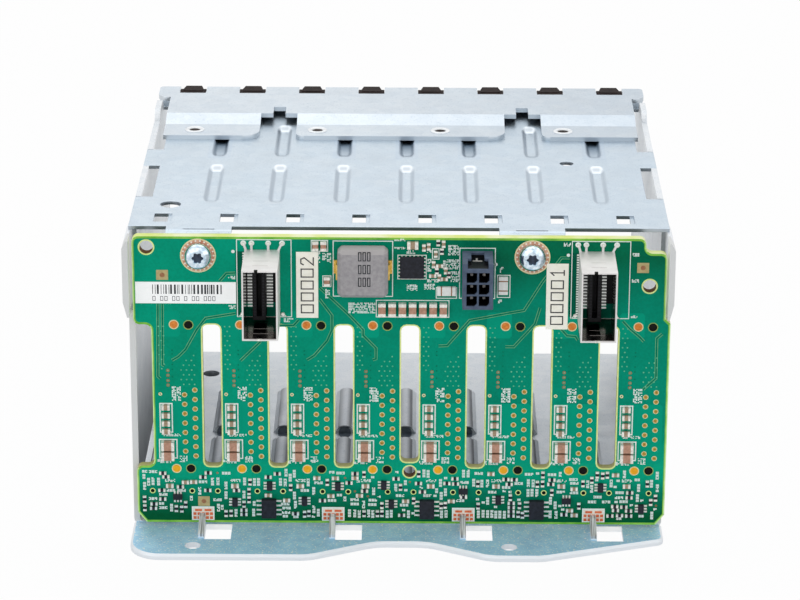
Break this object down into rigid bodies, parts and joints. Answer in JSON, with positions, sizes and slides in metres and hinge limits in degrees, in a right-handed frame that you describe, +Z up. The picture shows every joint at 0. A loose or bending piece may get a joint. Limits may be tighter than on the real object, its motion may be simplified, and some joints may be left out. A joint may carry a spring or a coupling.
{
  "type": "hard drive cage",
  "caption": "Open-front sheet-steel cage for a row of small drives, with a beaded top, a contoured rear flange and a slotted backplane board with data ports and a power header.",
  "frame": {"origin": "middle of the footprint, on the underside of the tray", "axes": "+X across the bays, to the right seen from the board side; +Y from the rear flange to the open front; +Z up"},
  "size_m": [0.1354, 0.1396, 0.0823],
  "materials": {
    "zinc_steel": "galvanised sheet, satin",
    "eyelet_steel": "bright pressed steel",
    "clip_black": "moulded, matte",
    "board_green": "solder mask over fibreglass, satin gloss",
    "connector_black": "moulded, matte",
    "port_metal": "tinned sheet, satin",
    "port_black": "moulded, matte",
    "tin": "tinned, satin",
    "header_plastic": "moulded, matte",
    "gold": "gold-plated",
    "ferrite": "pressed powder, matte",
    "chip_black": "moulded epoxy, matte",
    "capacitor_tan": "fired ceramic with tinned ends",
    "fuse_white": "ceramic with tinned ends",
    "label_paper": "matte label stock",
    "screw_zinc": "bright zinc"
  },
  "bodies": {
    "root": {"backplane_board": "board_green", "board_screws": "screw_zinc", "brace_eyelets": "eyelet_steel", "bulk_capacitors": "capacitor_tan", "drive_connector_1": "connector_black", "drive_connector_2": "connector_black", "drive_connector_3": "connector_black", "drive_connector_4": "connector_black", "drive_connector_5": "connector_black", "drive_connector_6": "connector_black", "drive_connector_7": "connector_black", "drive_connector_8": "connector_black", "driver_chips": "chip_black", "front_brace": "zinc_steel", "front_clip_1": "clip_black", "front_clip_2": "clip_black", "front_clip_3": "clip_black", "front_clip_4": "clip_black", "front_clip_5": "clip_black", "front_clip_6": "clip_black", "front_clip_7": "clip_black", "front_clip_8": "clip_black", "fuses": "fuse_white", "inductor_body": "ferrite", "inductor_terminals": "tin", "lane_bulk_capacitors": "capacitor_tan", "lane_capacitors": "capacitor_tan", "port_contacts_1": "tin", "port_contacts_2": "tin", "port_insert_1": "port_black", "port_insert_2": "port_black", "port_label_1": "label_paper", "port_label_2": "label_paper", "port_shell_1": "port_metal", "port_shell_2": "port_metal", "power_header": "header_plastic", "power_pins": "gold", "regulator_chip": "chip_black", "serial_label": "label_paper", "small_chips": "chip_black", "top_panel": "zinc_steel", "tray": "zinc_steel"}
  },
  "joints": []
}
